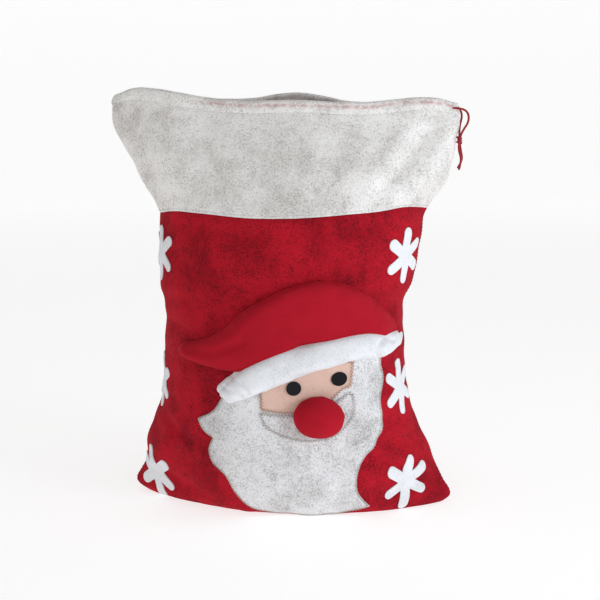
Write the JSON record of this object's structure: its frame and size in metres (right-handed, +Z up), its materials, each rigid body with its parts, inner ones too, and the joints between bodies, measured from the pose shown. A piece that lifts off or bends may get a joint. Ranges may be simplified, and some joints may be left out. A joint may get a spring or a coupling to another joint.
{
  "type": "fabric gift sack",
  "caption": "Standing filled felt gift sack with a pale drawstring collar, felt snowflakes and a padded bearded winter face with a cap and a ball nose.",
  "frame": {"origin": "middle of the base, on the surface that the sack stands on", "axes": "+Z up; the front with the face looks along -Y; +X to the right of the front, where the drawstring leaves the hem"},
  "size_m": [0.5033, 0.3196, 0.5751],
  "materials": {
    "red_felt": "matte felt with darker fibres",
    "white_felt": "matte felt with grey fibres",
    "skin_felt": "matte felt",
    "black_felt": "matte felt",
    "red_cord": "braided polyester",
    "fibre_fill": "loose polyester fibre",
    "red_thread": "sewing thread",
    "white_thread": "sewing thread"
  },
  "bodies": {
    "sack": {"beard": "white_felt", "beard_thread": "white_thread", "brim_cover": "white_felt", "brim_padding": "fibre_fill", "cap_cover": "red_felt", "cap_padding": "fibre_fill", "face_panel": "skin_felt", "face_panel_thread": "white_thread", "front_collar_seam_thread": "white_thread", "front_panel": "red_felt", "left_bottom_snowflake": "white_felt", "left_eye": "black_felt", "left_middle_snowflake": "white_felt", "left_top_snowflake": "white_felt", "moustache": "white_felt", "moustache_thread": "white_thread", "nose_cover": "red_felt", "nose_filling": "fibre_fill", "rear_collar_seam_thread": "white_thread", "rear_panel": "red_felt", "right_bottom_snowflake": "white_felt", "right_eye": "black_felt", "right_middle_snowflake": "white_felt", "right_top_snowflake": "white_felt", "side_and_bottom_seam_thread": "red_thread"},
    "front_collar": {"front_collar": "white_felt", "front_hem_thread": "white_thread", "drawstring_front_run": "red_cord"},
    "rear_collar": {"rear_collar": "white_felt", "rear_hem_thread": "white_thread", "drawstring_rear_run": "red_cord"},
    "drawstring": {"drawstring_front_strand": "red_cord", "drawstring_rear_strand": "red_cord", "drawstring_knot": "red_cord"}
  },
  "joints": [
    {"name": "drawstring_pull", "type": "slide", "parent": "sack", "child": "drawstring", "axis": [1, 0, 0], "range_m": [0, 0.12]},
    {"name": "front_collar_close", "type": "hinge", "parent": "sack", "child": "front_collar", "pos_m": [0, -0.127, 0.408], "axis": [-1, 0, 0], "range_deg": [0, 13], "deforming": ["front_collar", "front_hem_thread", "drawstring_front_run"]},
    {"name": "rear_collar_close", "type": "hinge", "parent": "sack", "child": "rear_collar", "pos_m": [0, 0.127, 0.408], "axis": [1, 0, 0], "range_deg": [0, 13], "deforming": ["rear_collar", "rear_hem_thread", "drawstring_rear_run"]}
  ],
  "couplings": [
    {"joint": "front_collar_close", "follows": "drawstring_pull", "rad_per_m": 1.88},
    {"joint": "rear_collar_close", "follows": "drawstring_pull", "rad_per_m": 1.88}
  ]
}
